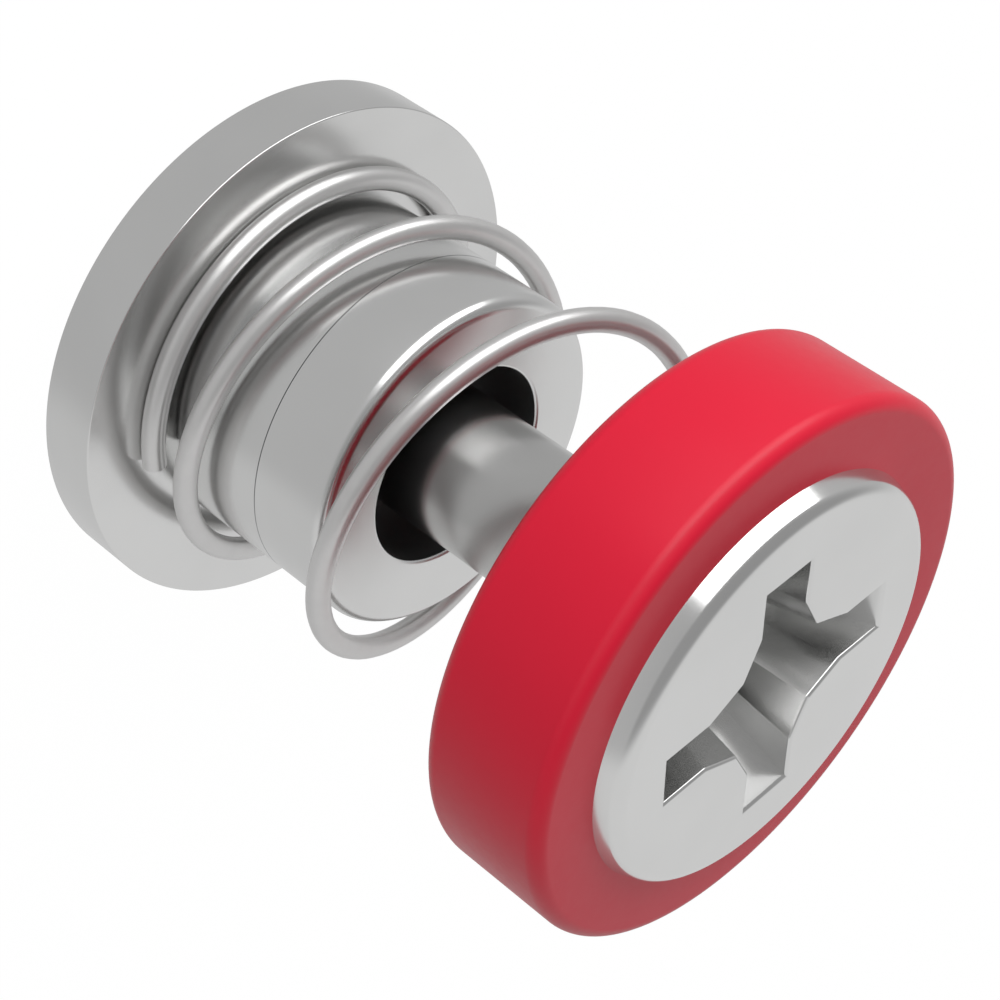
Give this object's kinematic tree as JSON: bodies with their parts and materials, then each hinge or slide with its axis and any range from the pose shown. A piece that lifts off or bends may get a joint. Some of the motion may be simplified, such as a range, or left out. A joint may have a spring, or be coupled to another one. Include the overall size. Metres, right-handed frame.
{
  "type": "captive panel screw",
  "caption": "Spring-loaded captive panel screw: round plastic knob with a cross-recessed steel head, open coil spring, and a flanged steel bush with a press-in spigot.",
  "frame": {"origin": "centre of the retainer's spigot at the plane where the flange sits on the panel", "axes": "+Z along the screw's axis towards the knob; +X and +Y along the wings of the cross recess"},
  "size_m": [0.0118, 0.0118, 0.0156],
  "materials": {
    "polished_steel": "turned and plated, bright",
    "satin_steel": "satin, plated",
    "red_plastic": "satin, moulded",
    "spring_wire": "drawn wire, bright"
  },
  "bodies": {
    "retainer": {"retainer": "polished_steel"},
    "spring": {"spring": "spring_wire"},
    "screw": {"screw": "satin_steel", "knob": "red_plastic"}
  },
  "joints": [
    {"name": "turn", "type": "hinge", "parent": "retainer", "child": "spring", "pos_m": [0, 0, 0], "axis": [0, 0, 1], "continuous": true},
    {"name": "push", "type": "slide", "parent": "spring", "child": "screw", "axis": [0, 0, -1], "range_m": [0, 0.00544], "stiffness_N_per_m": 400, "springref_m": -0.0025, "deforming": ["spring"]}
  ]
}
